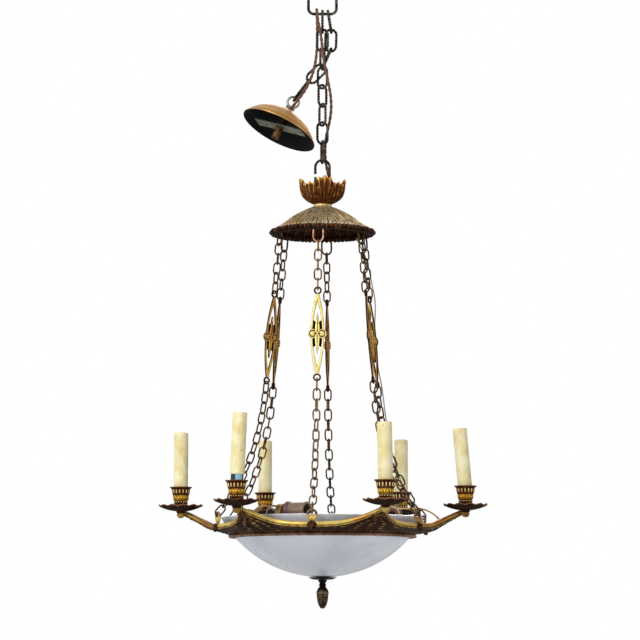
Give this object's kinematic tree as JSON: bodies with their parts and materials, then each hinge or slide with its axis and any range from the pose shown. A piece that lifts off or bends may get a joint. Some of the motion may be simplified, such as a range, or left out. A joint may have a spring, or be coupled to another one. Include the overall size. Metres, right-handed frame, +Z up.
{
  "type": "chandelier",
  "caption": "Hanging chandelier: alabaster bowl in a star frame with candle arms, on chains from a scalloped corona, with hook, heavy chain and loose canopy.",
  "frame": {"origin": "on the axis of the hook, where it meets the ceiling", "axes": "+Z up, -Y towards the viewer of the picture, +X to the viewer's right"},
  "size_m": [0.564, 0.5206, 1.1483],
  "materials": {
    "hook_steel": "dull",
    "chain_bronze": "patinated",
    "gilt_brass": "aged gilt",
    "dark_bronze": "patinated",
    "inner_steel": "plated",
    "wax_cover": "satin",
    "socket_black": "matte",
    "alabaster": "polished",
    "cord_brown": "twisted",
    "wire_pale": "matte"
  },
  "bodies": {
    "ceiling_hook": {"ceiling_hook": "hook_steel"},
    "hanging_chain": {"main_chain": "chain_bronze", "canopy_chain": "chain_bronze", "crown_link": "chain_bronze", "supply_cord": "cord_brown"},
    "canopy": {"canopy_loop": "gilt_brass", "canopy_shell": "gilt_brass", "canopy_stem": "inner_steel", "canopy_nut": "inner_steel", "canopy_strap": "inner_steel"},
    "top_link": {"top_link": "chain_bronze"},
    "chandelier": {"lamp_wire": "wire_pale", "crown_eye": "chain_bronze", "crown_cup": "gilt_brass", "neck_ring": "gilt_brass", "corona": "gilt_brass", "crown_nut": "inner_steel", "chain_staples": "dark_bronze", "base_ring": "gilt_brass", "chain_lugs": "gilt_brass", "drip_pans": "dark_bronze", "candle_cups": "gilt_brass", "arm_nipples": "inner_steel", "candle_sockets": "socket_black", "lamp_shells": "socket_black", "lamp_caps": "dark_bronze", "lamp_bushes": "socket_black", "lamp_brackets": "inner_steel", "arm_1": "gilt_brass", "arm_2": "gilt_brass", "arm_3": "gilt_brass", "arm_4": "gilt_brass", "arm_5": "gilt_brass", "arm_6": "gilt_brass", "suspension_chain_1": "dark_bronze", "suspension_chain_2": "dark_bronze", "suspension_chain_3": "dark_bronze", "suspension_chain_4": "dark_bronze", "suspension_chain_5": "dark_bronze", "suspension_chain_6": "dark_bronze"},
    "bowl": {"bowl": "alabaster", "finial_plate": "dark_bronze", "finial_washer": "inner_steel", "finial_nut": "inner_steel"},
    "finial": {"finial": "dark_bronze"},
    "pierced_bar_1": {"pierced_bar_1": "gilt_brass"},
    "candle_cover_1": {"candle_cover_1": "wax_cover"},
    "pierced_bar_2": {"pierced_bar_2": "gilt_brass"},
    "candle_cover_2": {"candle_cover_2": "wax_cover"},
    "pierced_bar_3": {"pierced_bar_3": "gilt_brass"},
    "candle_cover_3": {"candle_cover_3": "wax_cover"},
    "pierced_bar_4": {"pierced_bar_4": "gilt_brass"},
    "candle_cover_4": {"candle_cover_4": "wax_cover"},
    "pierced_bar_5": {"pierced_bar_5": "gilt_brass"},
    "candle_cover_5": {"candle_cover_5": "wax_cover"},
    "pierced_bar_6": {"pierced_bar_6": "gilt_brass"},
    "candle_cover_6": {"candle_cover_6": "wax_cover"}
  },
  "joints": [
    {"name": "top_link_swing", "type": "hinge", "parent": "ceiling_hook", "child": "top_link", "pos_m": [0, 0, -0.048], "axis": [0, 1, 0], "range_deg": [-12, 12]},
    {"name": "chain_swing", "type": "hinge", "parent": "top_link", "child": "hanging_chain", "pos_m": [0, 0, -0.08765], "axis": [1, 0, 0], "range_deg": [-12, 12]},
    {"name": "canopy_swing", "type": "hinge", "parent": "hanging_chain", "child": "canopy", "pos_m": [-0.04802, 0.02439, -0.23361], "axis": [0, 1, 0], "range_deg": [0, 30]},
    {"name": "chandelier_swivel", "type": "hinge", "parent": "hanging_chain", "child": "chandelier", "pos_m": [0, 0, -0.395], "axis": [0, 0, 1], "range_deg": [-30, 30]},
    {"name": "bowl_lift", "type": "slide", "parent": "chandelier", "child": "bowl", "axis": [0, 0, 1], "range_m": [0, 0.01]},
    {"name": "finial_turn", "type": "hinge", "parent": "bowl", "child": "finial", "pos_m": [0, 0, -1.07345], "axis": [0, 0, 1], "continuous": true},
    {"name": "bar_turn_1", "type": "hinge", "parent": "chandelier", "child": "pierced_bar_1", "pos_m": [-0.00814, -0.09032, -0.58653], "axis": [0.0086, 0.0955, 0.9954], "range_deg": [-25, 25]},
    {"name": "bar_turn_2", "type": "hinge", "parent": "chandelier", "child": "pierced_bar_2", "pos_m": [0.07415, -0.05221, -0.58653], "axis": [-0.0784, 0.0552, 0.9954], "range_deg": [-25, 25]},
    {"name": "bar_turn_3", "type": "hinge", "parent": "chandelier", "child": "pierced_bar_3", "pos_m": [0.08229, 0.03811, -0.58653], "axis": [-0.087, -0.0403, 0.9954], "range_deg": [-25, 25]},
    {"name": "bar_turn_4", "type": "hinge", "parent": "chandelier", "child": "pierced_bar_4", "pos_m": [0.00814, 0.09032, -0.58653], "axis": [-0.0086, -0.0955, 0.9954], "range_deg": [-25, 25]},
    {"name": "bar_turn_5", "type": "hinge", "parent": "chandelier", "child": "pierced_bar_5", "pos_m": [-0.07415, 0.05221, -0.58653], "axis": [0.0784, -0.0552, 0.9954], "range_deg": [-25, 25]},
    {"name": "bar_turn_6", "type": "hinge", "parent": "chandelier", "child": "pierced_bar_6", "pos_m": [-0.08229, -0.03811, -0.58653], "axis": [0.087, 0.0403, 0.9954], "range_deg": [-25, 25]},
    {"name": "cover_lift_1", "type": "slide", "parent": "chandelier", "child": "candle_cover_1", "axis": [-0.0175, 0, 0.9998], "range_m": [0, 0.1]},
    {"name": "cover_lift_2", "type": "slide", "parent": "chandelier", "child": "candle_cover_2", "axis": [-0.0872, 0, 0.9962], "range_m": [0, 0.1]},
    {"name": "cover_lift_3", "type": "slide", "parent": "chandelier", "child": "candle_cover_3", "axis": [0, 0, 1], "range_m": [0, 0.1]},
    {"name": "cover_lift_4", "type": "slide", "parent": "chandelier", "child": "candle_cover_4", "axis": [0, 0, 1], "range_m": [0, 0.1]},
    {"name": "cover_lift_5", "type": "slide", "parent": "chandelier", "child": "candle_cover_5", "axis": [0, 0, 1], "range_m": [0, 0.1]},
    {"name": "cover_lift_6", "type": "slide", "parent": "chandelier", "child": "candle_cover_6", "axis": [0.0436, 0, 0.999], "range_m": [-0.016, 0.1]}
  ]
}
